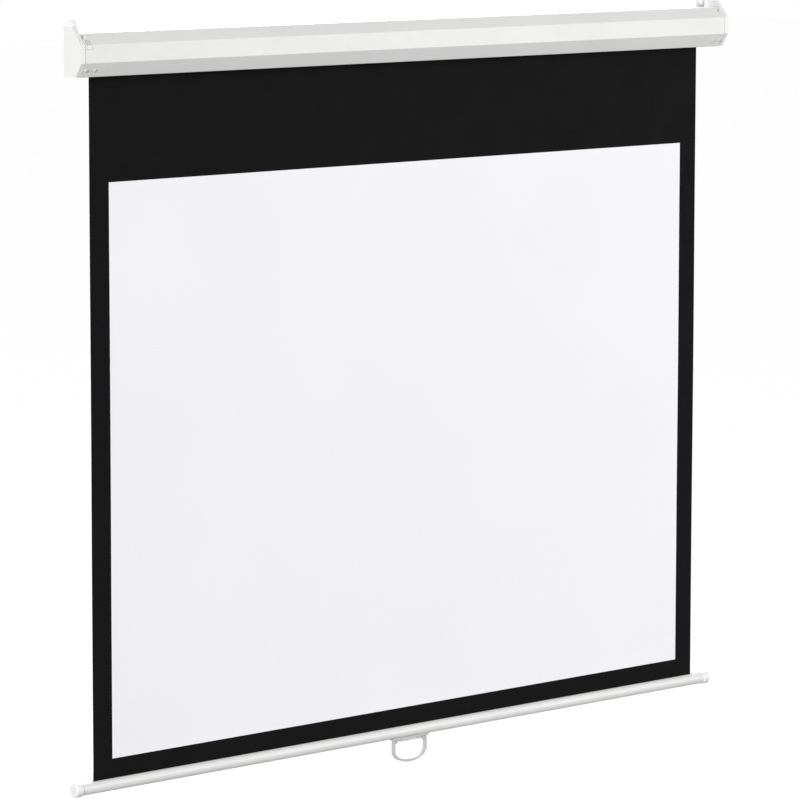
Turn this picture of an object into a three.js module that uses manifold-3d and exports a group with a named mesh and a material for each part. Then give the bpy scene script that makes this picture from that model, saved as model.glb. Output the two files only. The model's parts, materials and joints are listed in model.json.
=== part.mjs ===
// A pull-down projection screen: a bevelled steel case with a spring roller inside, a black-bordered
// screen cloth, and a round weighted bar with a pull handle.
import * as THREE from 'three';
import { mergeVertices } from 'three/addons/utils/BufferGeometryUtils.js';
import Module from 'manifold-3d';

// Sizes are in millimetres. X runs to the right as seen from the front, Y towards the wall and Z up.
// The origin lies on the wall plane, midway along the screen, level with the roller's axis.

// Screen cloth
const viewWidth = 1220;
const viewHeight = 915;
const sideBorder = 37;
const topDrop = 167;
const bottomBorder = 31;
const backingThickness = 0.3;
const faceThickness = 0.1;
const wrapThickness = 0.6;
const wrapGap = 0.1;

// Case
const caseHeight = 68;
const caseDepth = 47;
const caseWall = 0.9;
const caseMargin = 31.5;
const caseStandOff = 5;
const upperBevelHeight = 17;
const lowerBevelHeight = 22.4;
const bevelDepth = 15;
const bendRadius = 2;
const slotWidth = 12;
const slotLip = 3;

// End caps
const collarWidth = 9;
const collarStep = 0.6;
const collarGap = 1;
const endPlate = 3;
const spigotLength = 30;
const spigotWall = 2;
const earRise = 11.1;
const earTop = 19.3;
const earRun = 12;
const pryWidth = 8.6;
const pryHeight = 7;
const pryDepth = 5;
const pryInset = 8;
const pryRise = 4;
const pryWall = 0.8;
const windowWidth = 11;
const windowHeight = 16;
const windowInset = 2;
const windowRise = 1;
const windowDepth = 6;
const snapWidth = 9;
const snapHeight = 6;
const snapEdge = 1.2;
const snapProud = 1.2;

// Cap screws and hanger screws
const screwHeadRadius = 3;
const screwHeadHeight = 1.6;
const screwShankRadius = 1.4;
const screwGrip = 3.6;
const screwTop = 0.5;
const outerScrewInset = 5;
const innerScrewInset = 21;
const hangerScrewSpacing = 20;

// Hangers
const hangerWidth = 18;
const hangerPlate = 2;
const hangerInset = 1;
const hangerRise = 20;
const hangerFoot = 12;
const joggleRise = 6;
const joggleTop = 4;
const slotHoleWidth = 7;
const slotHoleHeight = 12;
const slotHoleMargin = 3.5;

// End brackets that carry the roller
const bracketPlate = 1.8;
const postRadius = 2;
const postSpacing = 32;
const postProud = 1;

// Roller
const tubeRadius = 13.5;
const tubeWall = 0.9;
const rollerMargin = 11;
const flangeThickness = 3;
const flangeProud = 0.5;
const plugLength = 18;
const spindleRadius = 3.2;
const tangThickness = 4;
const tangLength = 7;
const idlePinRadius = 4;
const idlePinCollar = 7;
const idlePinCollarWidth = 3;
const bushWall = 1.8;

// Lock
const ratchetRadius = 6.5;
const notchDepth = 1.7;
const ratchetWidth = 5;
const pawlPinRadius = 1.3;
const pawlPinCircle = 11.2;
const pawlReach = 8.66;
const pawlKnuckle = 2.2;
const pawlWidth = 4.4;
const retainerPlate = 1.2;

// Counterbalance spring
const springRadius = 8.6;
const springWire = 2;
const springLength = 232;
const springHub = 12;
const anchorWidth = 10;
const anchorRadius = 10.5;
const guideWidth = 8;
const guideSpace = 2;
const spindleTail = 2;

// Bottom bar
const barRadius = 10;
const barWall = 1;
const barSlot = 3;
const barCapRadius = 11.4;
const barCapLength = 12;
const barCapPlug = 15;
const barCapEdge = 2.4;
const barOverhang = 38;
const hemRodRadius = 2.6;
const hemRodOverhang = 3;

// Pull handle and its bracket
const saddleMargin = 2;
const saddleWidth = 12;
const saddleDrop = 2.6;
const saddleGrip = 6;
const saddleEdge = 1.6;
const handleWidth = 72;
const handleDrop = 36.5;
const handleBand = 4;
const handleDepth = 6;
const handleSide = 16;
const lugWidth = 4;
const pinRadius = 1.5;
const handleScrewInset = 8;

// Clearances and mesh fineness
const seatGap = 0.3;
const shaftGap = 0.15;
const runGap = 0.3;
const handleGap = 0.6;
const overrun = 2;
const weldDistance = 1e-4;
const roundSteps = 36;
const smallSteps = 20;
const screwSteps = 10;
const cornerSteps = 4;
const springTurns = 24;
const stepsPerTurn = 8;
const springSides = 5;

// Angles in radians and shares
const notchStart = THREE.MathUtils.degToRad(27);
const notchEnd = THREE.MathUtils.degToRad(57);
const pawlNoseAngle = THREE.MathUtils.degToRad(50.7);
const pawlCount = 2;
const pawlOuterShares = [[1, 0], [1.0, 0.21], [0.72, 0.4], [0.32, 0.34]];
const pawlInnerShares = [[0.42, -0.065], [0.77, 0.03]];

// Places worked out from the sizes
const clothWidth = viewWidth + 2 * sideBorder;
const clothThickness = backingThickness + faceThickness;
const halfCase = clothWidth / 2 + caseMargin;
const halfObject = halfCase + collarWidth;
const caseBack = -caseStandOff;
const caseFront = caseBack - caseDepth;
const caseTop = caseHeight / 2;
const caseBottom = -caseHeight / 2;
const bevelTop = caseTop - upperBevelHeight;
const bevelBottom = caseBottom + lowerBevelHeight;
const axisY = (caseFront + caseBack) / 2;
const wrapInner = tubeRadius + wrapGap;
const wrapRadius = tubeRadius + wrapThickness;
const clothFront = axisY + wrapRadius + runGap;
const clothY = clothFront + clothThickness / 2;
const viewTop = caseBottom - topDrop;
const viewBottom = viewTop - viewHeight;
const clothBottom = viewBottom - bottomBorder;
const spigotOffset = -caseWall - seatGap;
const spigotBore = spigotOffset - spigotWall;
const pocketEnd = halfObject - endPlate;
const bracketFace = pocketEnd - bracketPlate;
const halfTube = clothWidth / 2 + rollerMargin;
const flangeEnd = halfTube + flangeThickness;
const flangeRadius = tubeRadius + flangeProud;
const plugRadius = tubeRadius - tubeWall - shaftGap;
const barZ = clothBottom - barRadius;
const halfBar = clothWidth / 2 + barOverhang;
const saddleBottom = -barRadius - saddleDrop;
const saddleLength = handleWidth + 2 * saddleMargin;
const knuckleRadius = handleDepth / 2;
const pinDrop = saddleBottom - knuckleRadius - handleGap;
const screwHole = screwShankRadius + seatGap;

const wasm = await Module();
wasm.setup();

// Moves shape coordinates (across, up) and their extrusion onto the part's axes.
const alongX = new THREE.Matrix4().makeBasis(
  new THREE.Vector3(0, 1, 0), new THREE.Vector3(0, 0, 1), new THREE.Vector3(1, 0, 0));
const alongY = new THREE.Matrix4().makeBasis(
  new THREE.Vector3(1, 0, 0), new THREE.Vector3(0, 0, 1), new THREE.Vector3(0, -1, 0));
const turnedOnX = new THREE.Matrix4().makeBasis(
  new THREE.Vector3(0, 1, 0), new THREE.Vector3(1, 0, 0), new THREE.Vector3(0, 0, -1));

// The volume that a closed surface holds, negative when its faces point inwards.
function heldVolume(position, index) {
  const corners = [new THREE.Vector3(), new THREE.Vector3(), new THREE.Vector3()];
  let sum = 0;
  for (let i = 0; i < index.length; i += 3) {
    corners.forEach((corner, k) => corner.fromBufferAttribute(position, index[i + k]));
    sum += corners[0].dot(corners[1].cross(corners[2])) / 6;
  }
  return sum;
}

// Welds a geometry's vertices, drops its flat triangles and points its faces outwards.
function closedSurface(geometry) {
  const bare = geometry.clone();
  bare.deleteAttribute('normal');
  bare.deleteAttribute('uv');
  const welded = mergeVertices(bare, weldDistance);
  const source = welded.index.array;
  const index = [];
  for (let i = 0; i < source.length; i += 3) {
    const [a, b, c] = [source[i], source[i + 1], source[i + 2]];
    if (a !== b && b !== c && c !== a) index.push(a, b, c);
  }
  if (heldVolume(welded.attributes.position, index) < 0) index.reverse();
  welded.setIndex(index);
  return welded;
}

// A closed geometry as a solid that can be joined and cut.
function toSolid(geometry) {
  const surface = closedSurface(geometry);
  return new wasm.Manifold(new wasm.Mesh({
    numProp: 3,
    vertProperties: new Float32Array(surface.attributes.position.array),
    triVerts: new Uint32Array(surface.index.array),
  }));
}

// A solid as a geometry for a mesh.
function toGeometry(solid) {
  const mesh = solid.getMesh();
  const geometry = new THREE.BufferGeometry();
  geometry.setAttribute('position', new THREE.BufferAttribute(new Float32Array(mesh.vertProperties), 3));
  geometry.setIndex(Array.from(mesh.triVerts));
  return geometry;
}

// Joins the first solids into one and cuts the second ones out of it.
function joinAndCut(joined, cuts) {
  let solid = toSolid(joined[0]);
  joined.slice(1).forEach((geometry) => { solid = solid.add(toSolid(geometry)); });
  cuts.forEach((geometry) => { solid = solid.subtract(toSolid(geometry)); });
  return toGeometry(solid);
}

// Corners moved outwards by a distance, each edge kept parallel. Corners run counter-clockwise.
function offsetCorners(corners, distance) {
  return corners.map((corner, i) => {
    const before = corners[(i + corners.length - 1) % corners.length];
    const after = corners[(i + 1) % corners.length];
    const arriving = new THREE.Vector2().subVectors(corner, before).normalize();
    const leaving = new THREE.Vector2().subVectors(after, corner).normalize();
    const turn = arriving.cross(leaving);
    const along = distance * (1 - arriving.dot(leaving)) / turn;
    return new THREE.Vector2(
      corner.x + distance * arriving.y + along * arriving.x,
      corner.y - distance * arriving.x + along * arriving.y);
  });
}

// A closed outline with an arc of the given radius at each corner.
function roundedOutline(corners, radius) {
  const points = [];
  corners.forEach((corner, i) => {
    const before = corners[(i + corners.length - 1) % corners.length];
    const after = corners[(i + 1) % corners.length];
    const back = new THREE.Vector2().subVectors(before, corner).normalize();
    const ahead = new THREE.Vector2().subVectors(after, corner).normalize();
    const halfAngle = Math.acos(THREE.MathUtils.clamp(back.dot(ahead), -1, 1)) / 2;
    const middle = new THREE.Vector2().addVectors(back, ahead).normalize();
    const centre = corner.clone().addScaledVector(middle, radius / Math.sin(halfAngle));
    const start = corner.clone().addScaledVector(back, radius / Math.tan(halfAngle)).sub(centre);
    const sweep = (Math.PI - 2 * halfAngle) * Math.sign(ahead.cross(back));
    for (let k = 0; k <= cornerSteps; k += 1) {
      points.push(start.clone().rotateAround(new THREE.Vector2(), (sweep * k) / cornerSteps).add(centre));
    }
  });
  return points;
}

// Points on an arc from one angle to another.
function arcPoints(x, y, radius, from, to, steps) {
  return Array.from({ length: steps + 1 }, (_, k) => {
    const angle = from + ((to - from) * k) / steps;
    return new THREE.Vector2(x + radius * Math.cos(angle), y + radius * Math.sin(angle));
  });
}

function circlePath(x, y, radius, steps) {
  return new THREE.Path(arcPoints(x, y, radius, 0, 2 * Math.PI, steps).slice(0, -1));
}

function rectangle(x0, x1, y0, y1) {
  return [[x0, y0], [x1, y0], [x1, y1], [x0, y1]].map(([x, y]) => new THREE.Vector2(x, y));
}

// An outline in (Y, Z) carried along X.
function lengthwise(outline, from, to, holes = []) {
  const shape = new THREE.Shape(outline);
  shape.holes.push(...holes);
  const geometry = new THREE.ExtrudeGeometry(shape, { depth: to - from, bevelEnabled: false });
  return geometry.translate(0, 0, from).applyMatrix4(alongX);
}

// An outline in (X, Z) carried along Y.
function depthwise(outline, from, to, holes = []) {
  const shape = new THREE.Shape(outline);
  shape.holes.push(...holes);
  const geometry = new THREE.ExtrudeGeometry(shape, { depth: to - from, bevelEnabled: false });
  return geometry.translate(0, 0, -to).applyMatrix4(alongY);
}

// A body turned about the X axis from (X, radius) pairs.
function turned(pairs, steps) {
  const profile = pairs.map(([x, radius]) => new THREE.Vector2(radius, x));
  return new THREE.LatheGeometry(profile, steps).applyMatrix4(turnedOnX);
}

function rod(from, to, radius, steps) {
  return turned([[from, 0], [from, radius], [to, radius], [to, 0]], steps);
}

function sleeve(from, to, inner, outer, steps) {
  return turned([[from, inner], [from, outer], [to, outer], [to, inner], [from, inner]], steps);
}

function block(x0, x1, y0, y1, z0, z1) {
  return lengthwise(rectangle(y0, y1, z0, z1), x0, x1);
}

// A geometry mirrored to the other end of the screen.
function otherEnd(geometry) {
  return geometry.clone().scale(-1, 1, 1);
}

// A pan-head screw whose head stands on the origin and whose shank runs down Z.
function panScrew() {
  const profile = [
    [-screwGrip, 0], [-screwGrip, screwShankRadius], [0, screwShankRadius], [0, screwHeadRadius],
    [screwHeadHeight - screwTop, screwHeadRadius], [screwHeadHeight, screwHeadRadius - screwTop],
    [screwHeadHeight, 0],
  ];
  const points = profile.map(([height, radius]) => new THREE.Vector2(radius, height));
  return new THREE.LatheGeometry(points, screwSteps).rotateX(Math.PI / 2);
}

// A cutter along a screw's shank, with the screw's clearance.
function screwCutter(at, direction) {
  const length = screwGrip + screwHeadHeight + overrun;
  const cutter = new THREE.CylinderGeometry(screwHole, screwHole, 2 * length, screwSteps);
  cutter.rotateX(Math.PI / 2);
  return cutter.applyMatrix4(standing(at, direction));
}

// The matrix that stands something made along Z at a place, pointing in a direction.
function standing(at, direction) {
  const turn = new THREE.Quaternion().setFromUnitVectors(new THREE.Vector3(0, 0, 1), direction);
  return new THREE.Matrix4().compose(at, turn, new THREE.Vector3(1, 1, 1));
}

function finish(colour, roughness, metalness) {
  return new THREE.MeshStandardMaterial({ color: colour, roughness, metalness });
}

const whiteEnamel = () => finish(0xeef0f2, 0.42, 0);
const whitePlastic = () => finish(0xf4f4f6, 0.5, 0);
const lightGreyPlastic = () => finish(0xc2c2c3, 0.5, 0);
const greyPlastic = () => finish(0x8e9196, 0.55, 0);
const blackCloth = () => finish(0x1a191a, 0.85, 0);
const whiteCloth = () => finish(0xf3f2f8, 0.9, 0);
const zincSteel = () => finish(0xc4c7ca, 0.35, 0.9);
const springSteel = () => finish(0x70747a, 0.4, 0.9);
const nylon = () => finish(0xe6e2d6, 0.6, 0);

function addPiece(group, name, geometry, material) {
  const mesh = new THREE.Mesh(closedSurface(geometry), material);
  mesh.name = name;
  group.add(mesh);
  return mesh;
}

// The case's six-sided section, with an upper and a lower bevel at the front.
function caseCorners(offset) {
  const corners = [
    [caseFront, bevelTop], [caseFront, bevelBottom], [caseFront + bevelDepth, caseBottom],
    [caseBack, caseBottom], [caseBack, caseTop], [caseFront + bevelDepth, caseTop],
  ].map(([y, z]) => new THREE.Vector2(y, z));
  return offsetCorners(corners, offset);
}

function caseOutline(offset) {
  return roundedOutline(caseCorners(offset), Math.max(bendRadius + offset, bendRadius / 2));
}

// The outward direction and the middle of a bevel, as a place on the case's skin.
function bevelPlace(lower, x) {
  const outer = new THREE.Vector2(caseFront, lower ? bevelBottom : bevelTop);
  const inner = new THREE.Vector2(caseFront + bevelDepth, lower ? caseBottom : caseTop);
  const edge = new THREE.Vector2().subVectors(inner, outer).normalize();
  const out = lower ? new THREE.Vector2(edge.y, -edge.x) : new THREE.Vector2(-edge.y, edge.x);
  const middle = new THREE.Vector2().addVectors(outer, inner).multiplyScalar(1 / 2);
  return {
    at: new THREE.Vector3(x, middle.x, middle.y),
    out: new THREE.Vector3(0, out.x, out.y),
  };
}

// A block that stands on a place of the case's skin, sunk by one depth and proud by another.
function placedBlock(place, width, height, sunk, proud) {
  const piece = new THREE.BoxGeometry(width, height, sunk + proud).translate(0, 0, (proud - sunk) / 2);
  const across = new THREE.Vector3(1, 0, 0);
  const up = new THREE.Vector3().crossVectors(place.out, across);
  return piece.applyMatrix4(new THREE.Matrix4().makeBasis(across, up, place.out).setPosition(place.at));
}

// The place of the notch at a cap's edge, above the middle of the upper bevel.
function pryPlace() {
  const place = bevelPlace(false, halfCase - pryInset + pryWidth / 2);
  const up = new THREE.Vector3().crossVectors(place.out, new THREE.Vector3(1, 0, 0));
  place.at.addScaledVector(up, pryRise);
  return place;
}

function pryNotch() {
  return placedBlock(pryPlace(), pryWidth, pryHeight, pryDepth, overrun);
}

// The cap's wall round the notch and under its floor.
function pryPocket() {
  const skin = caseWall + seatGap;
  return placedBlock(pryPlace(), pryWidth + 2 * pryWall, pryHeight + 2 * pryWall, pryDepth + pryWall, -skin);
}

// The window at the case's left end, which goes over the bend above its front face.
function snapWindow() {
  const out = bevelPlace(false, 0).out.add(new THREE.Vector3(0, -1, 0)).normalize();
  const up = new THREE.Vector3().crossVectors(out, new THREE.Vector3(1, 0, 0));
  const at = new THREE.Vector3(windowX, caseFront, bevelTop).addScaledVector(up, windowRise);
  return otherEnd(placedBlock({ at, out }, windowWidth, windowHeight, windowDepth, overrun));
}

const capScrewPlaces = [outerScrewInset, innerScrewInset].map((inset) => bevelPlace(true, halfCase - inset));
const hangerX = halfCase - hangerInset - hangerWidth / 2;
const hangerScrewHeights = [-hangerScrewSpacing / 2, hangerScrewSpacing / 2];
const hangerScrewPlaces = hangerScrewHeights.map((z) => ({
  at: new THREE.Vector3(hangerX, caseBack, z),
  out: new THREE.Vector3(0, 1, 0),
}));
const windowX = halfCase - windowInset - windowWidth / 2;
const slotFront = clothY - slotWidth / 2;
const slotBack = clothY + slotWidth / 2;

// The rolled steel case: a thin tube with a lipped slot underneath for the cloth.
function caseShell() {
  const tube = lengthwise(caseOutline(0), -halfCase, halfCase, [new THREE.Path(caseOutline(-caseWall))]);
  const lipBottom = caseBottom + caseWall / 2;
  const lipTop = caseBottom + caseWall + slotLip;
  const lips = [
    block(-halfCase, halfCase, slotFront - caseWall, slotFront, lipBottom, lipTop),
    block(-halfCase, halfCase, slotBack, slotBack + caseWall, lipBottom, lipTop),
  ];
  const slot = block(-halfCase - overrun, halfCase + overrun, slotFront, slotBack,
    caseBottom - overrun, lipTop + overrun);
  const endCuts = [
    ...capScrewPlaces.map((place) => screwCutter(place.at, place.out)),
    ...hangerScrewPlaces.map((place) => screwCutter(place.at, place.out)),
    pryNotch(),
  ];
  return joinAndCut([tube, ...lips], [slot, snapWindow(), ...endCuts, ...endCuts.map(otherEnd)]);
}

// The raised ear at the back of an end cap, sloping down towards the front.
function earOutline() {
  const back = caseBack - collarStep;
  const top = caseTop + earRise;
  return [
    [back, bevelTop], [back, top], [back - earTop, top],
    [back - earTop - earRun, caseTop], [back - earTop - earRun, bevelTop],
  ].map(([y, z]) => new THREE.Vector2(y, z)).reverse();
}

// The wedge of a cap that snaps into the case's window, at the window's lower edge.
function snapLug() {
  const halfTurn = Math.atan2(bevelDepth, upperBevelHeight) / 2;
  const low = bevelTop - (windowHeight / 2 - windowRise) / Math.cos(halfTurn) + seatGap;
  const skin = caseFront - spigotOffset;
  const outline = [
    [skin + spigotWall / 2, low], [caseFront - snapProud, low], [caseFront - snapProud, low + snapEdge],
    [skin, low + snapHeight], [skin + spigotWall / 2, low + snapHeight],
  ].map(([y, z]) => new THREE.Vector2(y, z));
  return lengthwise(outline, windowX - snapWidth / 2, windowX + snapWidth / 2);
}

// An end cap, made for the right: a collar and end plate outside the case, a hollow spigot inside
// it, and two posts for the roller bracket.
function endCap(lugs = []) {
  const collar = lengthwise(caseOutline(-collarStep), halfCase + collarGap, halfObject);
  const ear = lengthwise(earOutline(), halfCase + collarGap, halfObject);
  const spigot = lengthwise(caseOutline(spigotOffset), halfCase - spigotLength, halfCase + overrun);
  const pocket = lengthwise(caseOutline(spigotBore), halfCase - spigotLength - overrun, pocketEnd);
  const lipRelief = block(halfCase - spigotLength - overrun, halfCase,
    slotFront - caseWall - seatGap, caseBack + overrun,
    caseBottom - overrun, caseBottom + caseWall + slotLip + seatGap);
  const posts = [-postSpacing / 2, postSpacing / 2].map((z) => {
    const post = rod(bracketFace - postProud, pocketEnd + endPlate / 2, postRadius, smallSteps);
    return post.translate(0, axisY, z);
  });
  const holes = [...capScrewPlaces, ...hangerScrewPlaces].map((place) => screwCutter(place.at, place.out));
  const body = joinAndCut([collar, ear, spigot, ...lugs], [pocket, lipRelief]);
  return joinAndCut([body, pryPocket(), ...posts], [pryNotch(), ...holes]);
}

// The right-hand hanger: a joggled steel strip screwed to the case's back, its slotted tab above the case.
function hanger() {
  const footBack = caseBack + hangerPlate;
  const joggleStart = caseTop - joggleTop - joggleRise;
  const joggleEnd = caseTop - joggleTop;
  const top = caseTop + hangerRise;
  const bottom = -hangerScrewSpacing / 2 - hangerFoot;
  const profile = [
    [caseBack, bottom], [footBack, bottom], [footBack, joggleStart], [0, joggleEnd], [0, top],
    [-hangerPlate, top], [-hangerPlate, joggleEnd], [caseBack, joggleStart],
  ].map(([y, z]) => new THREE.Vector2(y, z));
  const strip = lengthwise(profile, hangerX - hangerWidth / 2, hangerX + hangerWidth / 2);
  const half = hangerWidth / 2;
  const face = [
    ...arcPoints(hangerX, top - half, half, 0, Math.PI, smallSteps),
    new THREE.Vector2(hangerX - half, bottom), new THREE.Vector2(hangerX + half, bottom),
  ];
  const slotHalf = slotHoleWidth / 2;
  const slotTop = top - slotHoleMargin - slotHalf;
  const slotLow = top - slotHoleMargin - slotHoleHeight + slotHalf;
  const slot = [
    ...arcPoints(hangerX, slotTop, slotHalf, 0, Math.PI, smallSteps / 2),
    ...arcPoints(hangerX, slotLow, slotHalf, Math.PI, 2 * Math.PI, smallSteps / 2),
  ];
  const outline = depthwise(face, caseBack - overrun, overrun);
  const cutters = [
    depthwise(slot, caseBack - overrun, overrun),
    ...hangerScrewPlaces.map((place) => screwCutter(place.at, place.out)),
  ];
  let solid = toSolid(strip).intersect(toSolid(outline));
  cutters.forEach((cutter) => { solid = solid.subtract(toSolid(cutter)); });
  return toGeometry(solid);
}

// A steel bracket plate that fills the cap's pocket and is held on its posts; the opening carries
// the spindle or the idle pin.
function endBracket(opening) {
  const holes = [-postSpacing / 2, postSpacing / 2].map(
    (z) => circlePath(axisY, z, postRadius + seatGap, smallSteps));
  return lengthwise(caseOutline(spigotBore - seatGap), bracketFace, pocketEnd, [opening, ...holes]);
}

// The fixed steel spindle with a flat tang at its outer end.
function spindle() {
  const start = -pocketEnd + seatGap;
  const round = rod(start, spindleEnd, spindleRadius, smallSteps);
  const reach = spindleRadius + overrun;
  const flats = [-1, 1].map((side) => block(start - overrun, start + tangLength,
    Math.min(side * tangThickness / 2, side * reach), Math.max(side * tangThickness / 2, side * reach),
    -reach, reach));
  return joinAndCut([round], flats);
}

// The fixed ratchet wheel: a round wheel with one notch for each pawl.
function ratchet() {
  const outline = [];
  const stride = (2 * Math.PI) / pawlCount;
  const root = ratchetRadius - notchDepth;
  for (let i = 0; i < pawlCount; i += 1) {
    const zero = Math.PI / 2 + i * stride;
    outline.push(...arcPoints(0, 0, root, zero + notchStart, zero + notchEnd, cornerSteps));
    outline.push(...arcPoints(0, 0, ratchetRadius, zero + notchEnd, zero + notchStart + stride, smallSteps));
  }
  const bore = circlePath(0, 0, spindleRadius + shaftGap, smallSteps);
  return lengthwise(outline, -flangeEnd - runGap - ratchetWidth, -flangeEnd - runGap, [bore]);
}

// One pawl: a knuckle round its pin and a curved lever with a square nose.
function pawl() {
  const ahead = new THREE.Vector2(-Math.sin(pawlNoseAngle), -Math.cos(pawlNoseAngle));
  const toNose = new THREE.Vector2(
    -noseRadius * Math.sin(pawlNoseAngle), noseRadius * Math.cos(pawlNoseAngle) - pawlPinCircle).normalize();
  const away = new THREE.Vector2(toNose.y, -toNose.x);
  if (away.dot(ahead) < 0) away.negate();
  const place = ([along, out]) => new THREE.Vector2()
    .addScaledVector(toNose, along * pawlReach).addScaledVector(away, out * pawlReach);
  const outer = pawlOuterShares.map(place);
  const inner = pawlInnerShares.map(place);
  const from = Math.atan2(away.y, away.x);
  const turn = Math.sign(away.cross(toNose)) * -Math.PI;
  const knuckle = arcPoints(0, 0, pawlKnuckle, from, from + turn, smallSteps / 2);
  const outline = [...outer, ...knuckle, ...inner];
  const bore = circlePath(0, 0, pawlPinRadius + runGap, screwSteps);
  return lengthwise(outline, -flangeEnd - runGap - pawlWidth, -flangeEnd - runGap, [bore]);
}

// A place for one of the pawls, as a turn about the roller's axis.
function pawlTurn(i) {
  return (2 * Math.PI * i) / pawlCount;
}

const noseRadius = Math.sqrt(pawlPinCircle ** 2 - pawlReach ** 2);
const lockEnd = -flangeEnd - 2 * runGap - ratchetWidth;
const springStart = -halfTube + plugLength + seatGap;
const springEnd = springStart + springLength;
const anchorStart = springEnd + seatGap;
const guideStart = anchorStart + anchorWidth + guideSpace;
const spindleEnd = guideStart + guideWidth + spindleTail;
const springInner = (springRadius - springWire / 2) * Math.cos(Math.PI / stepsPerTurn) - seatGap;

// The head that closes the tube's spring end, with a hub for the spring and two pawl pins.
function springHead() {
  const bore = spindleRadius + runGap;
  const plugEnd = -halfTube + plugLength;
  const body = turned([
    [-flangeEnd, bore], [-flangeEnd, flangeRadius], [-halfTube, flangeRadius], [-halfTube, plugRadius],
    [plugEnd, plugRadius], [plugEnd, springInner], [plugEnd + springHub, springInner],
    [plugEnd + springHub, bore], [-flangeEnd, bore],
  ], roundSteps);
  const pins = Array.from({ length: pawlCount }, (_, i) => {
    const pin = rod(lockEnd - retainerPlate, -flangeEnd + flangeThickness / 2, pawlPinRadius, screwSteps);
    return pin.translate(0, 0, pawlPinCircle).rotateX(pawlTurn(i));
  });
  return joinAndCut([body, ...pins], []);
}

// The thin plate on the pawl pins' ends that keeps the pawls on.
function pawlRetainer() {
  const outline = arcPoints(0, 0, flangeRadius, 0, 2 * Math.PI, roundSteps).slice(0, -1);
  const bore = circlePath(0, 0, spindleRadius + runGap, smallSteps);
  const holes = Array.from({ length: pawlCount }, (_, i) => {
    const angle = Math.PI / 2 + pawlTurn(i);
    return circlePath(pawlPinCircle * Math.cos(angle), pawlPinCircle * Math.sin(angle),
      pawlPinRadius + shaftGap, screwSteps);
  });
  return lengthwise(outline, lockEnd - retainerPlate, lockEnd, [bore, ...holes]);
}

// The plug that closes the tube's idle end and holds the bush.
function idlePlug() {
  const bore = idlePinRadius + runGap + bushWall + shaftGap;
  return turned([
    [halfTube - plugLength, bore], [halfTube - plugLength, plugRadius], [halfTube, plugRadius],
    [halfTube, flangeRadius], [flangeEnd, flangeRadius], [flangeEnd, bore], [halfTube - plugLength, bore],
  ], roundSteps);
}

// The fixed pin at the idle end, with a collar against its bracket.
function idlePin() {
  const collarStart = bracketFace - idlePinCollarWidth;
  return turned([
    [halfTube - plugLength, 0], [halfTube - plugLength, idlePinRadius], [collarStart, idlePinRadius],
    [collarStart, idlePinCollar], [bracketFace, idlePinCollar], [bracketFace, idlePinRadius],
    [pocketEnd - seatGap, idlePinRadius], [pocketEnd - seatGap, 0],
  ], smallSteps);
}

// The coil that the spring's wire follows.
class SpringCoil extends THREE.Curve {
  getPoint(t, target = new THREE.Vector3()) {
    const angle = 2 * Math.PI * springTurns * t;
    const reach = springLength - springWire;
    return target.set(springStart + springWire / 2 + reach * t,
      springRadius * Math.cos(angle), springRadius * Math.sin(angle));
  }
}

function torsionSpring() {
  const section = new THREE.Shape(arcPoints(0, 0, springWire / 2, 0, 2 * Math.PI, springSides).slice(0, -1));
  return new THREE.ExtrudeGeometry(section, {
    steps: springTurns * stepsPerTurn, extrudePath: new SpringCoil(), bevelEnabled: false,
  });
}

function springAnchor() {
  const bore = spindleRadius + shaftGap;
  return turned([
    [anchorStart - springHub, bore], [anchorStart - springHub, springInner], [anchorStart, springInner],
    [anchorStart, anchorRadius], [anchorStart + anchorWidth, anchorRadius], [anchorStart + anchorWidth, bore],
    [anchorStart - springHub, bore],
  ], smallSteps);
}

// A sheet of cloth between two heights, thin in Y.
function clothSheet(width, top, bottom, front, back) {
  return block(-width / 2, width / 2, front, back, bottom, top);
}

// The round bar with a slot along its top and two screw holes underneath, about its own axis.
function barTube() {
  const outerSlot = Math.asin(barSlot / 2 / barRadius);
  const innerRadius = barRadius - barWall;
  const innerSlot = Math.asin(barSlot / 2 / innerRadius);
  const top = Math.PI / 2;
  const full = 2 * Math.PI;
  const outline = [
    ...arcPoints(0, 0, barRadius, top + outerSlot, top + full - outerSlot, roundSteps),
    ...arcPoints(0, 0, innerRadius, top + full - innerSlot, top + innerSlot, roundSteps),
  ];
  const tube = lengthwise(outline, -halfBar + barCapLength, halfBar - barCapLength);
  return joinAndCut([tube], handleScrewPlaces.map((place) => screwCutter(place.at, place.out)));
}

// The right-hand bar cap, with a plug inside the bar.
function barCap() {
  const start = halfBar - barCapLength;
  const plug = barRadius - barWall - seatGap;
  const edge = Array.from({ length: cornerSteps + 1 }, (_, k) => {
    const angle = (Math.PI / 2) * (k / cornerSteps);
    return [halfBar - barCapEdge + barCapEdge * Math.sin(angle),
      barCapRadius - barCapEdge + barCapEdge * Math.cos(angle)];
  });
  return turned([
    [start - barCapPlug, 0], [start - barCapPlug, plug], [start, plug], [start, barCapRadius],
    ...edge, [halfBar, 0],
  ], roundSteps);
}

const hemRadius = hemRodRadius + seatGap + clothThickness;
const slotEdge = Math.sqrt((barRadius - barWall) ** 2 - (barSlot / 2) ** 2);
const hemZ = slotEdge - Math.sqrt((hemRadius + seatGap) ** 2 - (barSlot / 2) ** 2);

// The cloth's bottom border, which runs down through the bar's slot into a hem round a rod.
function bottomBorderCloth() {
  const half = clothThickness / 2;
  const meet = Math.asin(half / hemRadius);
  const top = Math.PI / 2;
  const outline = [
    ...arcPoints(0, hemZ, hemRadius, top + meet, top + 2 * Math.PI - meet, smallSteps),
    new THREE.Vector2(half, viewBottom - barZ), new THREE.Vector2(-half, viewBottom - barZ),
  ];
  const hem = circlePath(0, hemZ, hemRodRadius + seatGap, smallSteps);
  return lengthwise(outline, -clothWidth / 2, clothWidth / 2, [hem]);
}

const lugInner = handleWidth / 2 - handleBand - seatGap - lugWidth;
const lugOuter = lugInner + lugWidth;
const handleScrewX = lugInner - handleScrewInset;

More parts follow.
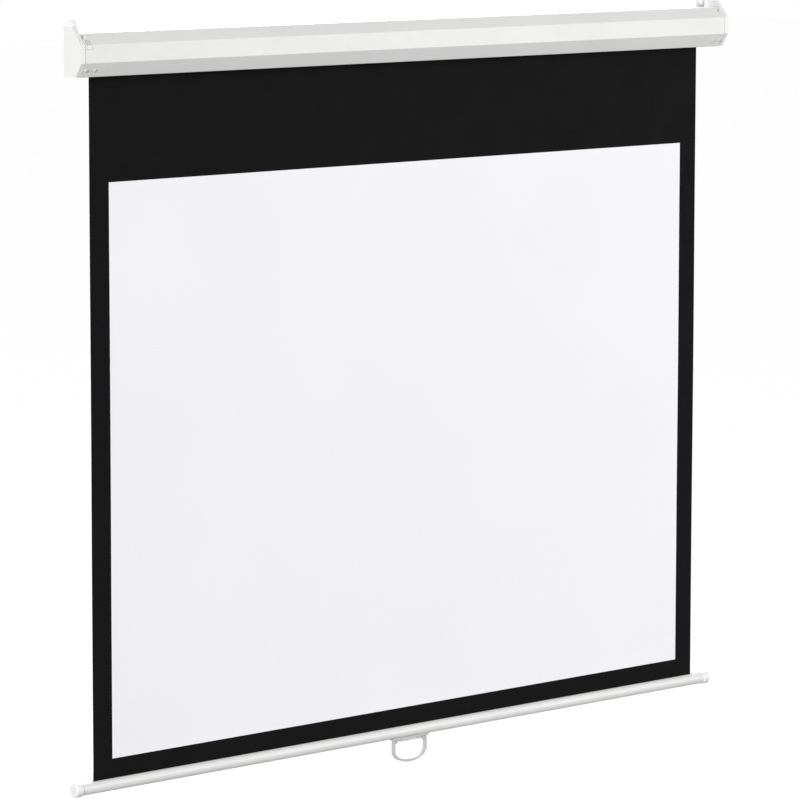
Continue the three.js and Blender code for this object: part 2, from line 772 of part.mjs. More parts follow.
// The saddle under the bar, with two lugs for the handle's pin, about the bar's axis.
function handleBracket() {
  const corners = rectangle(-saddleWidth / 2, saddleWidth / 2, saddleBottom, -saddleGrip);
  const saddle = lengthwise(roundedOutline(corners, saddleEdge), -saddleLength / 2, saddleLength / 2);
  const seat = rod(-saddleLength / 2 - overrun, saddleLength / 2 + overrun, barRadius + seatGap, roundSteps);
  const lugOutline = [
    ...arcPoints(0, pinDrop, knuckleRadius, Math.PI, 2 * Math.PI, smallSteps / 2),
    new THREE.Vector2(knuckleRadius, saddleBottom + saddleDrop / 2),
    new THREE.Vector2(-knuckleRadius, saddleBottom + saddleDrop / 2),
  ];
  const rightLug = lengthwise(lugOutline, lugInner, lugOuter);
  const pinHole = rod(-lugOuter - overrun, lugOuter + overrun, pinRadius + shaftGap, smallSteps);
  pinHole.translate(0, 0, pinDrop);
  const screwHoles = handleScrewPlaces.map((place) => screwCutter(place.at, place.out));
  return joinAndCut([saddle, rightLug, otherEnd(rightLug)], [seat, pinHole, ...screwHoles]);
}

const handleScrewPlaces = [-handleScrewX, handleScrewX].map((x) => ({
  at: new THREE.Vector3(x, 0, saddleBottom),
  out: new THREE.Vector3(0, 0, -1),
}));

// The pull handle: a flat band bent into a loop with straight sides and a round foot, about its pin.
function pullHandle() {
  const half = handleWidth / 2;
  const loopLine = (inwards) => [
    new THREE.Vector2(half - inwards, knuckleRadius),
    ...arcPoints(0, 0, 1, 0, -Math.PI, roundSteps / 2).map((point) => new THREE.Vector2(
      point.x * (half - inwards), -handleSide + point.y * (handleDrop - handleSide - inwards))),
    new THREE.Vector2(-half + inwards, knuckleRadius),
  ];
  const outline = [...loopLine(0), ...loopLine(handleBand).reverse()];
  const band = depthwise(outline, -handleDepth / 2, handleDepth / 2);
  const sideOutline = [
    ...arcPoints(0, 0, knuckleRadius, 0, Math.PI, smallSteps),
    new THREE.Vector2(-knuckleRadius, -handleDrop - overrun),
    new THREE.Vector2(knuckleRadius, -handleDrop - overrun),
  ];
  const rounding = lengthwise(sideOutline, -half - overrun, half + overrun);
  const hole = rod(-half - overrun, half + overrun, pinRadius + runGap, smallSteps);
  return toGeometry(toSolid(band).intersect(toSolid(rounding)).subtract(toSolid(hole)));
}

// Puts a piece and its mirrored twin at the two ends.
function addPair(group, name, geometry, material) {
  addPiece(group, `right_${name}`, geometry, material());
  addPiece(group, `left_${name}`, otherEnd(geometry), material());
}

function addScrew(group, name, place, side, material) {
  const screw = addPiece(group, name, panScrew(), material);
  const at = place.at.clone().addScaledVector(place.out, seatGap);
  screw.applyMatrix4(standing(at.setX(side * at.x), place.out));
}

function buildCase() {
  const group = new THREE.Group();
  addPiece(group, 'case_shell', caseShell(), whiteEnamel());
  addPiece(group, 'left_end_cap', otherEnd(endCap([snapLug()])), whitePlastic());
  addPiece(group, 'right_end_cap', endCap(), whitePlastic());
  addPair(group, 'hanger', hanger(), zincSteel);
  [['left', -1], ['right', 1]].forEach(([end, side]) => {
    capScrewPlaces.forEach((place, i) => {
      addScrew(group, `${end}_cap_screw_${i + 1}`, place, side, whiteEnamel());
    });
    hangerScrewPlaces.forEach((place, i) => {
      const onPlate = { at: place.at.clone().setY(caseBack + hangerPlate), out: place.out };
      addScrew(group, `${end}_hanger_screw_${i + 1}`, onPlate, side, zincSteel());
    });
  });
  const tangHalf = tangThickness / 2 + seatGap;
  const tangHole = new THREE.Path(rectangle(
    axisY - tangHalf, axisY + tangHalf, -spindleRadius - seatGap, spindleRadius + seatGap));
  const pinHole = circlePath(axisY, 0, idlePinRadius + shaftGap, smallSteps);
  addPiece(group, 'left_end_bracket', otherEnd(endBracket(tangHole)), zincSteel());
  addPiece(group, 'right_end_bracket', endBracket(pinHole), zincSteel());
  return group;
}

function buildFixedShafts() {
  const group = new THREE.Group();
  group.position.set(0, axisY, 0);
  addPiece(group, 'roller_spindle', spindle(), zincSteel());
  addPiece(group, 'lock_ratchet', ratchet(), springSteel());
  addPiece(group, 'torsion_spring', torsionSpring(), springSteel());
  addPiece(group, 'spring_anchor', springAnchor(), greyPlastic());
  const guide = sleeve(guideStart, guideStart + guideWidth, spindleRadius + shaftGap,
    tubeRadius - tubeWall - runGap, smallSteps * 2);
  addPiece(group, 'spindle_guide', guide, nylon());
  addPiece(group, 'idle_pin', idlePin(), zincSteel());
  return group;
}

function buildRoller() {
  const group = new THREE.Group();
  group.position.set(0, axisY, 0);
  const tube = sleeve(-halfTube, halfTube, tubeRadius - tubeWall, tubeRadius, roundSteps);
  const wraps = sleeve(-clothWidth / 2, clothWidth / 2, wrapInner, wrapRadius, roundSteps);
  addPiece(group, 'roller_tube', tube, zincSteel());
  addPiece(group, 'cloth_wraps', wraps, blackCloth());
  addPiece(group, 'spring_end_head', springHead(), greyPlastic());
  addPiece(group, 'pawl_retainer', pawlRetainer(), zincSteel());
  addPiece(group, 'idle_end_plug', idlePlug(), greyPlastic());
  const bush = sleeve(halfTube - plugLength, flangeEnd, idlePinRadius + runGap,
    idlePinRadius + runGap + bushWall, smallSteps);
  addPiece(group, 'idle_bush', bush, nylon());
  for (let i = 0; i < pawlCount; i += 1) {
    const arm = new THREE.Group();
    arm.rotation.x = pawlTurn(i);
    const piece = addPiece(arm, `lock_pawl_${i + 1}`, pawl(), springSteel());
    piece.position.z = pawlPinCircle;
    group.add(arm);
  }
  return group;
}

function buildCloth() {
  const group = new THREE.Group();
  const faceBack = clothFront + faceThickness;
  const clothBack = clothFront + clothThickness;
  const backing = clothSheet(clothWidth, 0, viewBottom, faceBack, clothBack);
  const face = clothSheet(viewWidth, viewTop, viewBottom, clothFront, faceBack);
  addPiece(group, 'black_backing', backing, blackCloth());
  addPiece(group, 'white_face', face, whiteCloth());
  return group;
}

function buildBar() {
  const group = new THREE.Group();
  group.position.set(0, clothY, barZ);
  addPiece(group, 'bottom_bar', barTube(), whiteEnamel());
  addPair(group, 'bar_cap', barCap(), whitePlastic);
  addPiece(group, 'bottom_border_cloth', bottomBorderCloth(), blackCloth());
  const rodHalf = clothWidth / 2 + hemRodOverhang;
  const hemRod = addPiece(group, 'hem_rod', rod(-rodHalf, rodHalf, hemRodRadius, smallSteps), nylon());
  hemRod.position.z = hemZ;
  addPiece(group, 'handle_bracket', handleBracket(), lightGreyPlastic());
  const pinRod = rod(-handleWidth / 2, handleWidth / 2, pinRadius, smallSteps);
  const pin = addPiece(group, 'handle_pin', pinRod, zincSteel());
  pin.position.z = pinDrop;
  addScrew(group, 'right_handle_screw', handleScrewPlaces[1], 1, zincSteel());
  addScrew(group, 'left_handle_screw', handleScrewPlaces[1], -1, zincSteel());
  const handle = addPiece(group, 'pull_handle', pullHandle(), lightGreyPlastic());
  handle.position.z = pinDrop;
  return group;
}

const screen = new THREE.Group();
screen.add(buildCase(), buildFixedShafts(), buildRoller(), buildCloth(), buildBar());

export default screen;
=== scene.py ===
# Pull-down projection screen: the looks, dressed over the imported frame. X is right, Y back, Z up.
# Blender's own values are metres. Lengths in the dictionaries are millimetres unless marked m.
import json
import bmesh
import bpy
import numpy as np
from mathutils import Matrix, Vector


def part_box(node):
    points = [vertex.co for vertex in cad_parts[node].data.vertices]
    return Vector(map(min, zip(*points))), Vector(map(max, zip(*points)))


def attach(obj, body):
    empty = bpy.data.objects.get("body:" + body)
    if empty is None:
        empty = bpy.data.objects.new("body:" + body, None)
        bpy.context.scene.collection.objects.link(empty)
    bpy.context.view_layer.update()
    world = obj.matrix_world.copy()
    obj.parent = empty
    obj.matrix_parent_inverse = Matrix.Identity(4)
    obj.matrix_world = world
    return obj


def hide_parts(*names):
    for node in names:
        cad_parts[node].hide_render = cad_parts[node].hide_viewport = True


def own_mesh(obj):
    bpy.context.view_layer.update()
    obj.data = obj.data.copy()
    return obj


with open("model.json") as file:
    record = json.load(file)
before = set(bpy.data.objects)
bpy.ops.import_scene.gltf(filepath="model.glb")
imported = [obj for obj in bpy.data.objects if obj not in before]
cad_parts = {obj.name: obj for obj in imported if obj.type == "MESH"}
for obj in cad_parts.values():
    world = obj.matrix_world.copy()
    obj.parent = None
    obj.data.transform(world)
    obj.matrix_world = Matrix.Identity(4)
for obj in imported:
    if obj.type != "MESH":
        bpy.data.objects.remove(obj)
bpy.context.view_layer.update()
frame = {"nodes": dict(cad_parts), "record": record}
mm = 0.001
bodies = frame["record"]["behaviour"]["bodies"]
bodyOf = {node: body for body, nodes in bodies.items() for node in nodes}
slotOf = {part["node"]: part["material_slot"] for part in frame["record"]["subparts"]}


def cornersOf(node):
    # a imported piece's lowest and highest corners, in millimetres
    low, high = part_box(node)
    return np.array(low) / mm, np.array(high) / mm


# Camera

photoCamera = {
    "place": (-4.3815, -5.2938, 0.3889),    # m, fitted to the straight edges of case and cloth
    "yaw": 39.548,          # degrees to the right of straight ahead
    "pitch": -6.541,        # degrees above level
    "roll": 0.095,          # degrees
    "lens": 187.8,
    "sensor": 36,
    "shiftUp": -0.15,       # share of the picture's width
    "near": 0.1,            # m, the nearest and the farthest that it sees
    "far": 80,              # m
}


def addCamera(values):
    # forward from yaw and pitch, then the level right-hand side and its upright turned by the roll
    yaw, pitch, roll = (float(np.radians(values[key])) for key in ("yaw", "pitch", "roll"))
    forward = Vector((np.sin(yaw) * np.cos(pitch), np.cos(yaw) * np.cos(pitch), np.sin(pitch)))
    level = Vector((np.cos(yaw), -np.sin(yaw), 0))
    right = level * float(np.cos(roll)) + level.cross(forward) * float(np.sin(roll))
    up = right.cross(forward)
    data = bpy.data.cameras.new("photoCamera")
    data.lens = values["lens"]
    data.sensor_width = values["sensor"]
    data.shift_y = values["shiftUp"]
    data.clip_start = values["near"]
    data.clip_end = values["far"]
    camera = bpy.data.objects.new("photoCamera", data)
    bpy.context.scene.collection.objects.link(camera)
    turn = Matrix((right, up, -forward)).transposed()
    camera.matrix_world = Matrix.Translation(values["place"]) @ turn.to_4x4()
    bpy.context.scene.camera = camera


addCamera(photoCamera)
print("camera")

# Nodes and colours

# the share of a noise that its two colours or values are spread over, and how fine it gets
toneNoise = {"spread": (0.35, 0.65), "detail": 2}
glossNoise = {"spread": (0.3, 0.7), "detail": 3}


def linearColour(hexText):
    # sRGB hex to linear: a straight line near black, the 2.4 power above it
    srgb = np.array([int(hexText[i:i + 2], 16) for i in (1, 3, 5)]) / 255
    linear = np.where(srgb <= 0.04045, srgb / 12.92, ((srgb + 0.055) / 1.055) ** 2.4)
    return (*linear.tolist(), 1.0)


def addNode(tree, kind, settings=None, links=None):
    # a setting goes to the input of that name or number, or else to the node itself. A link leads
    # from another node's output to the input of that name or number.
    node = tree.nodes.new(kind)
    for key, value in (settings or {}).items():
        if isinstance(key, int) or key in node.inputs.keys():
            node.inputs[key].default_value = value
        else:
            setattr(node, key, value)
    for key, output in (links or {}).items():
        tree.links.new(output, node.inputs[key])
    return node


def newTree(name):
    # a material whose node tree is still empty
    material = bpy.data.materials.new(name)
    material.use_nodes = True
    material.node_tree.nodes.clear()
    return material, material.node_tree


def perMetre(size):
    # how many features of a size in millimetres fit in a metre
    return 1 / (size * mm)


def speckled(tree, points, size, colours):
    # a noise whose middle range runs from the first colour to the second
    settings = {"Scale": perMetre(size), "Detail": toneNoise["detail"]}
    noise = addNode(tree, "ShaderNodeTexNoise", settings, {"Vector": points})
    ramp = addNode(tree, "ShaderNodeValToRGB", {}, {"Fac": noise.outputs["Fac"]})
    for element, position, colour in zip(ramp.color_ramp.elements, toneNoise["spread"], colours):
        element.position = position
        element.color = linearColour(colour)
    return ramp.outputs["Color"]


def uneven(tree, points, size, limits):
    # a noise whose middle range runs from the first value to the second, for roughness
    settings = {"Scale": perMetre(size), "Detail": glossNoise["detail"]}
    noise = addNode(tree, "ShaderNodeTexNoise", settings, {"Vector": points})
    low, high = glossNoise["spread"]
    settings = {"From Min": low, "From Max": high, "To Min": limits[0], "To Max": limits[1]}
    stretched = addNode(tree, "ShaderNodeMapRange", settings, {"Value": noise.outputs["Fac"]})
    return stretched.outputs["Result"]


def relief(tree, points, *layers):
    # noises laid over one another as bumps: a layer is its size and its depth, in millimetres, and
    # its noise's detail
    below = {}
    for size, depth, detail in layers:
        settings = {"Scale": perMetre(size), "Detail": detail}
        noise = addNode(tree, "ShaderNodeTexNoise", settings, {"Vector": points})
        bump = addNode(tree, "ShaderNodeBump", {"Distance": depth * mm},
                       {"Height": noise.outputs["Fac"], **below})
        below = {"Normal": bump.outputs["Normal"]}
    return below["Normal"]


def closeSurface(tree, settings, links):
    # the shader, with its even values and its patterns, and the material's way out
    shader = addNode(tree, "ShaderNodeBsdfPrincipled", settings, links)
    addNode(tree, "ShaderNodeOutputMaterial", {}, {"Surface": shader.outputs["BSDF"]})


# Materials

enamel = {
    "colours": ("#e1e1e0", "#e4e4e3"),
    "toneSize": 160,        # between faint changes of tone
    "peelSize": 1.4,        # the orange peel of sprayed enamel
    "peelDepth": 0.006,
    "waveSize": 130,        # rolled sheet is never quite flat
    "waveDepth": 0.05,
    "glossSize": 16.8,      # between faint changes of gloss
    "roughness": (0.33, 0.42),
    "ior": 1.5,
}
# the same enamel, thin and dull on the screws
screwPaint = {**enamel, "colours": ("#d0d0cf", "#d6d6d5"), "roughness": (0.55, 0.65)}


def bakedEnamel(name, values):
    # white enamel sprayed and baked on steel: semi-gloss, a fine orange peel, long soft waves
    material, tree = newTree(name)
    points = addNode(tree, "ShaderNodeTexCoord").outputs["Object"]
    bumps = relief(tree, points, (values["waveSize"], values["waveDepth"], 0),
                   (values["peelSize"], values["peelDepth"], 1))
    closeSurface(tree, {"IOR": values["ior"], "Metallic": 0}, {
        "Base Color": speckled(tree, points, values["toneSize"], values["colours"]),
        "Roughness": uneven(tree, points, values["glossSize"], values["roughness"]),
        "Normal": bumps,
    })
    return material


plastic = {
    "colours": ("#ebebea", "#eeeeed"),
    "toneSize": 45,
    "grainSize": 0.5,       # the spark-eroded mould's grain, drawn coarser than its 0.1 to show
    "grainDepth": 0.008,
    "sinkSize": 26,         # shallow sink marks
    "sinkDepth": 0.03,
    "glossSize": 10,
    "roughness": (0.42, 0.5),
    "ior": 1.53,
}
greyPlastic = {**plastic, "colours": ("#bebebf", "#c4c4c5")}    # the bracket and the handle


def mouldedAbs(name, values):
    # ABS from a lightly grained mould: satin, even, faint sink marks
    material, tree = newTree(name)
    points = addNode(tree, "ShaderNodeTexCoord").outputs["Object"]
    bumps = relief(tree, points, (values["sinkSize"], values["sinkDepth"], 0),
                   (values["grainSize"], values["grainDepth"], 2))
    closeSurface(tree, {"IOR": values["ior"], "Metallic": 0}, {
        "Base Color": speckled(tree, points, values["toneSize"], values["colours"]),
        "Roughness": uneven(tree, points, values["glossSize"], values["roughness"]),
        "Normal": bumps,
    })
    return material


blackWeave = {
    "colours": ("#100f10", "#131213"),
    "toneSize": 70,
    "thread": 0.55,         # from thread to thread
    "threadDepth": 0.05,
    "stretch": (1, 1, 0.06),    # faint streaks run along the hanging threads
    "streakSize": 1.1,
    "streaks": ("#0b0a0b", "#131213"),
    "streakShare": 0.45,
    "glossSize": 35,
    "roughness": (0.62, 0.72),
    "ior": 1.48,
    "gloss": 0.05,          # the dull coating mirrors little
}


def wovenBlack(values):
    # black coated glass-fibre cloth: dull, faint streaks down its length, and a plain weave, drawn
    # as a sine across the width times a sine down the length
    material, tree = newTree("wovenBlackCloth")
    points = addNode(tree, "ShaderNodeTexCoord").outputs["Object"]
    axes = addNode(tree, "ShaderNodeSeparateXYZ", {}, {"Vector": points})
    pace = np.pi * perMetre(values["thread"])
    waves = []
    for axis in ("X", "Z"):
        turned = addNode(tree, "ShaderNodeMath", {"operation": "MULTIPLY", 1: pace},
                         {0: axes.outputs[axis]})
        wave = addNode(tree, "ShaderNodeMath", {"operation": "SINE"}, {0: turned.outputs[0]})
        waves.append(wave.outputs[0])
    weave = addNode(tree, "ShaderNodeMath", {"operation": "MULTIPLY"}, {0: waves[0], 1: waves[1]})
    threads = addNode(tree, "ShaderNodeBump", {"Distance": values["threadDepth"] * mm},
                      {"Height": weave.outputs[0]})
    drawn = addNode(tree, "ShaderNodeMapping", {"Scale": values["stretch"]}, {"Vector": points})
    streaks = speckled(tree, drawn.outputs["Vector"], values["streakSize"], values["streaks"])
    tone = speckled(tree, points, values["toneSize"], values["colours"])
    # sockets 6 and 7 of a Mix node take its two colours, and output 2 gives their mixture
    colour = addNode(tree, "ShaderNodeMix", {"data_type": "RGBA", 0: values["streakShare"]},
                     {6: tone, 7: streaks})
    closeSurface(tree, {
        "IOR": values["ior"], "Metallic": 0, "Specular IOR Level": values["gloss"],
    }, {
        "Base Color": colour.outputs[2],
        "Roughness": uneven(tree, points, values["glossSize"], values["roughness"]),
        "Normal": threads.outputs["Normal"],
    })
    return material


screenCoat = {
    "colours": ("#f7f6fb", "#f9f8fd"),
    "toneSize": 260,
    "grainSize": 0.7,       # the embossed matt grain, drawn coarser than its 0.3 to show
    "grainDepth": 0.02,
    "glossSize": 130,
    "roughness": (0.78, 0.88),
    "ior": 1.4,
}


def mattScreen(values):
    # matt white projection coating: a fine embossed grain, no shine, a breath of lavender
    material, tree = newTree("mattScreenCoating")
    points = addNode(tree, "ShaderNodeTexCoord").outputs["Object"]
    grain = addNode(tree, "ShaderNodeTexVoronoi", {"Scale": perMetre(values["grainSize"])},
                    {"Vector": points})
    embossed = addNode(tree, "ShaderNodeBump", {"Distance": values["grainDepth"] * mm},
                       {"Height": grain.outputs["Distance"]})
    closeSurface(tree, {"IOR": values["ior"], "Metallic": 0}, {
        "Base Color": speckled(tree, points, values["toneSize"], values["colours"]),
        "Roughness": uneven(tree, points, values["glossSize"], values["roughness"]),
        "Normal": embossed.outputs["Normal"],
    })
    return material


satinZinc = {
    "colours": ("#c6c7c9", "#cdced0"),
    "cloudSize": 14,        # zinc plate is faintly cloudy
    "markWidth": 0.4,       # the drawing marks of the strip
    "markDepth": 0.0008,
    "stretch": (0.05, 1, 1),    # the marks run along X
    "glossSize": 7,
    "roughness": (0.58, 0.66),
}
oiledSteel = {
    "colours": ("#6b6f75", "#7d8187"),
    "cloudSize": 9,
    "markWidth": 0.35,
    "markDepth": 0.0035,
    "stretch": (0.05, 1, 1),
    "glossSize": 4.5,
    "roughness": (0.28, 0.38),
}


def platedMetal(name, values):
    # plated or oiled steel: cloudy changes of tone, fine drawing marks along its length
    material, tree = newTree(name)
    points = addNode(tree, "ShaderNodeTexCoord").outputs["Object"]
    drawn = addNode(tree, "ShaderNodeMapping", {"Scale": values["stretch"]}, {"Vector": points})
    marks = relief(tree, drawn.outputs["Vector"], (values["markWidth"], values["markDepth"], 2))
    closeSurface(tree, {"Metallic": 1}, {
        "Base Color": speckled(tree, points, values["cloudSize"], values["colours"]),
        "Roughness": uneven(tree, points, values["glossSize"], values["roughness"]),
        "Normal": marks,
    })
    return material


acetal = {
    "colours": ("#8a8d92", "#93969b"),
    "toneSize": 10,
    "grainSize": 0.5,
    "grainDepth": 0.5 / 60,     # a sixtieth of the grain's size
    "glossSize": 4,
    "roughness": (0.4, 0.5),
    "ior": 1.48,
    "glow": 0,              # share of the light that goes in and comes out again
    "glowDepth": 1,
}
nylon = {
    "colours": ("#e4e0d3", "#ebe7dc"),
    "toneSize": 8,
    "grainSize": 0.4,
    "grainDepth": 0.4 / 60,
    "glossSize": 3.2,
    "roughness": (0.38, 0.48),
    "ior": 1.53,
    "glow": 0.1,
    "glowDepth": 1,
}


def plainMoulding(name, values):
    # a small moulding of acetal or nylon: slightly waxy, fine grain
    material, tree = newTree(name)
    points = addNode(tree, "ShaderNodeTexCoord").outputs["Object"]
    grain = relief(tree, points, (values["grainSize"], values["grainDepth"], 2))
    closeSurface(tree, {
        "IOR": values["ior"], "Metallic": 0,
        "Subsurface Weight": values["glow"], "Subsurface Scale": values["glowDepth"] * mm,
    }, {
        "Base Color": speckled(tree, points, values["toneSize"], values["colours"]),
        "Roughness": uneven(tree, points, values["glossSize"], values["roughness"]),
        "Normal": grain,
    })
    return material


finishes = {
    "white_enamel": bakedEnamel("bakedWhiteEnamel", enamel),
    "white_plastic": mouldedAbs("mouldedWhiteAbs", plastic),
    "light_grey_plastic": mouldedAbs("mouldedGreyAbs", greyPlastic),
    "black_cloth": wovenBlack(blackWeave),
    "white_cloth": mattScreen(screenCoat),
    # passivated zinc plate: pale cool grey, satin, slightly cloudy
    "zinc_steel": platedMetal("satinZincPlate", satinZinc),
    # hardened spring steel under a film of oil: dark, smooth
    "spring_steel": platedMetal("oiledSpringSteel", oiledSteel),
    "grey_plastic": plainMoulding("greyAcetal", acetal),
    "nylon": plainMoulding("naturalNylon", nylon),
}
paintedScrew = bakedEnamel("dullScrewPaint", screwPaint)
print("materials:", len(finishes), "slots")

# Meshes

meshCare = {
    "doubles": 0.002,       # points nearer to each other than this become one
    "copyDoubles": 0.004,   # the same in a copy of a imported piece
    "flat": 1,              # degrees, faces of a copy that bend less than this are joined
    "sharp": 32,            # degrees, where a new piece bends more than this it keeps an edge
    "copySharp": 30,        # degrees, the same in a copy, whose edges are then rounded
}


def dress(piece, node, finish=None):
    # hangs a piece on its node's body, gives it that node's slot's finish or another, hides the
    # node
    piece.data.materials.clear()
    piece.data.materials.append(finish or finishes[slotOf[node]])
    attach(piece, bodyOf[node])
    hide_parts(node)
    return piece


def newPiece(name, points, faces, sharp=meshCare["sharp"]):
    # an object from point and face arrays: unused points left out, doubles merged, faces turned
    # outwards
    used, corners = np.unique(faces, return_inverse=True)
    mesh = bpy.data.meshes.new(name)
    mesh.from_pydata(points[used].tolist(), [], corners.reshape(faces.shape).tolist())
    shape = bmesh.new()
    shape.from_mesh(mesh)
    bmesh.ops.remove_doubles(shape, verts=shape.verts, dist=meshCare["doubles"] * mm)
    if shape.calc_volume(signed=True) < 0:
        bmesh.ops.reverse_faces(shape, faces=shape.faces)
    shape.to_mesh(mesh)
    shape.free()
    return finishPiece(name, mesh, sharp)


def finishPiece(name, mesh, sharp):
    # smooth shading that breaks at edges sharper than an angle, flat faces kept flat by their size
    mesh.polygons.foreach_set("use_smooth", np.ones(len(mesh.polygons), bool))
    mesh.set_sharp_from_angle(angle=float(np.radians(sharp)))
    piece = bpy.data.objects.new(name, mesh)
    bpy.context.scene.collection.objects.link(piece)
    weight = piece.modifiers.new("flatFaces", "WEIGHTED_NORMAL")
    weight.keep_sharp = True
    return piece


def cells(grid):
    # the faces of a grid of point numbers, one for each cell
    return np.stack([grid[:-1, :-1], grid[1:, :-1], grid[1:, 1:], grid[:-1, 1:]], -1)


def thickSheet(name, outer, inner, kept=None, sharp=meshCare["sharp"]):
    # a wall between two grids of points. Each kept cell has a face on either grid, and each edge
    # where a kept cell meets a left-out cell or the border has a face between the grids.
    rows, columns = outer.shape[:2]
    kept = np.ones((rows - 1, columns - 1), bool) if kept is None else kept
    top = np.arange(rows * columns).reshape(rows, columns)
    low = top + rows * columns
    padded = np.pad(kept, 1)
    faces = [cells(top)[kept], cells(low)[kept][:, ::-1]]
    across = np.stack([top[:, :-1], top[:, 1:], low[:, 1:], low[:, :-1]], -1)
    along = np.stack([top[1:, :], top[:-1, :], low[:-1, :], low[1:, :]], -1)
    for walls, before, after in (
        (across, padded[:-1, 1:-1], padded[1:, 1:-1]),
        (along, padded[1:-1, :-1], padded[1:-1, 1:]),
    ):
        faces.append(walls[after & ~before])
        faces.append(walls[before & ~after][:, ::-1])
    points = np.concatenate([outer.reshape(-1, 3), inner.reshape(-1, 3)])
    return newPiece(name, points, np.concatenate(faces), sharp)


def carried(line, stations):
    # a line of (y, z) points repeated at each x station: a grid of (point, station, xyz)
    grid = np.empty((len(line), len(stations), 3))
    grid[..., 0] = stations
    grid[..., 1:] = line[:, None, :]
    return grid


def fullTurn(steps):
    # the angles of a full turn, its start not repeated at its end
    return np.linspace(0, 2 * np.pi, steps + 1)[:-1]


def turnedGrid(profile, steps):
    # (x, radius) pairs turned about the X axis: y = radius cos(angle), z = radius sin(angle)
    angle = fullTurn(steps)
    grid = np.empty((len(profile), steps, 3))
    grid[..., 0] = profile[:, :1]
    grid[..., 1] = profile[:, 1:] * np.cos(angle)
    grid[..., 2] = profile[:, 1:] * np.sin(angle)
    return grid


def roundGrid(name, grid, sharp=meshCare["sharp"]):
    # a grid whose second direction closes on itself, each end drawn together to its middle
    ends = [np.broadcast_to(row.mean(0), row.shape) for row in (grid[0], grid[-1])]
    grid = np.concatenate([ends[0][None], grid, ends[1][None]])
    count = grid.shape[0] * grid.shape[1]
    index = np.arange(count).reshape(grid.shape[:2])
    index = np.concatenate([index, index[:, :1]], axis=1)
    return newPiece(name, grid.reshape(-1, 3), cells(index).reshape(-1, 4), sharp)


def arc(centre, radius, start, end, steps):
    # points round a centre from one angle to another, in degrees
    angle = np.radians(np.linspace(start, end, steps + 1))
    return np.stack([centre[0] + radius * np.cos(angle), centre[1] + radius * np.sin(angle)], -1)


def bentLine(corners, radii, steps):
    # an open line with an arc at each inner corner, and its outward directions: a quarter turn to
    # the left of the way the line runs, turning with each arc
    corners = np.array(corners, float)
    runs = np.diff(corners, axis=0)
    ways = runs / np.linalg.norm(runs, axis=1)[:, None]
    points = [corners[:1]]
    outward = [np.array([[-ways[0, 1], ways[0, 0]]])]
    for corner, radius, before, after in zip(corners[1:-1], radii, ways[:-1], ways[1:]):
        turn = np.arctan2(before[0] * after[1] - before[1] * after[0], before @ after)
        start = np.arctan2(before[0], -before[1])
        angle = start + turn * np.linspace(0, 1, steps + 1)
        normal = np.stack([np.cos(angle), np.sin(angle)], -1)
        spoke = np.sign(turn) * radius * normal
        middle = corner - before * radius * abs(np.tan(turn / 2)) + spoke[0]
        points.append(middle - spoke)
        outward.append(normal)
    points.append(corners[-1:])
    outward.append(np.array([[-ways[-1, 1], ways[-1, 0]]]))
    return np.concatenate(points), np.concatenate(outward)


def roundedCopy(name, node, edge, segments):
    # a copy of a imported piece: doubles merged, flat faces joined, its edges rounded by a bevel
    packed = frame["nodes"][node].data
    points = np.empty(len(packed.vertices) * 3)
    packed.vertices.foreach_get("co", points)
    corners = np.empty(len(packed.loops), np.int32)
    packed.loops.foreach_get("vertex_index", corners)
    mesh = bpy.data.meshes.new(name)
    mesh.from_pydata(points.reshape(-1, 3).tolist(), [], corners.reshape(-1, 3).tolist())
    shape = bmesh.new()
    shape.from_mesh(mesh)
    bmesh.ops.remove_doubles(shape, verts=shape.verts, dist=meshCare["copyDoubles"] * mm)
    bmesh.ops.dissolve_limit(shape, angle_limit=float(np.radians(meshCare["flat"])),
                             verts=shape.verts, edges=shape.edges, use_dissolve_boundaries=False)
    shape.to_mesh(mesh)
    shape.free()
    piece = finishPiece(name, mesh, meshCare["copySharp"])
    rounding = piece.modifiers.new("edges", "BEVEL")
    rounding.width = edge * mm
    rounding.segments = segments
    rounding.limit_method = "ANGLE"
    rounding.angle_limit = float(np.radians(meshCare["copySharp"]))
    piece.modifiers.move(len(piece.modifiers) - 1, 0)
    return dress(piece, node)


# Case

case = {
    "upperBevelHeight": 17,
    "lowerBevelHeight": 22.4,
    "bevelDepth": 15,
    "wall": 0.9,
    "bend": 2,              # outer radius of the long bends
    "lipBend": 1.2,
    "lip": 3,
    "slot": 12,
    "notchInset": 8,        # how far the notch at either end goes in
    "notchSpan": (11.84, 18.84),    # from the front bend's corner, up the bevel
    "windowInset": 2,       # from the left end
    "windowWidth": 11,
    "windowSpan": (-7.48, 9.62),    # below and above the front bend's corner, along the skin
    "steps": 8,             # of each bend
}
caseLow, caseHigh = cornersOf("case_shell")
faceLow, faceHigh = cornersOf("white_face")
backLow, backHigh = cornersOf("black_backing")
clothY = (faceLow[1] + backHigh[1]) / 2


def caseProfile(values):
    # the rolled section in (y, z), from the front lip of the slot round to the back lip
    front, back, low, high = caseLow[1], caseHigh[1], caseLow[2], caseHigh[2]
    lipTop = low + values["wall"] + values["lip"]
    slotFront = clothY - values["slot"] / 2
    slotBack = clothY + values["slot"] / 2
    corners = [
        (slotFront, lipTop),
        (slotFront, low),
        (front + values["bevelDepth"], low),
        (front, low + values["lowerBevelHeight"]),
        (front, high - values["upperBevelHeight"]),
        (front + values["bevelDepth"], high),
        (back, high),
        (back, low),
        (slotBack, low),
        (slotBack, lipTop),
    ]
    radii = [values["lipBend"], *[values["bend"]] * 6, values["lipBend"]]
    return bentLine(corners, radii, values["steps"])


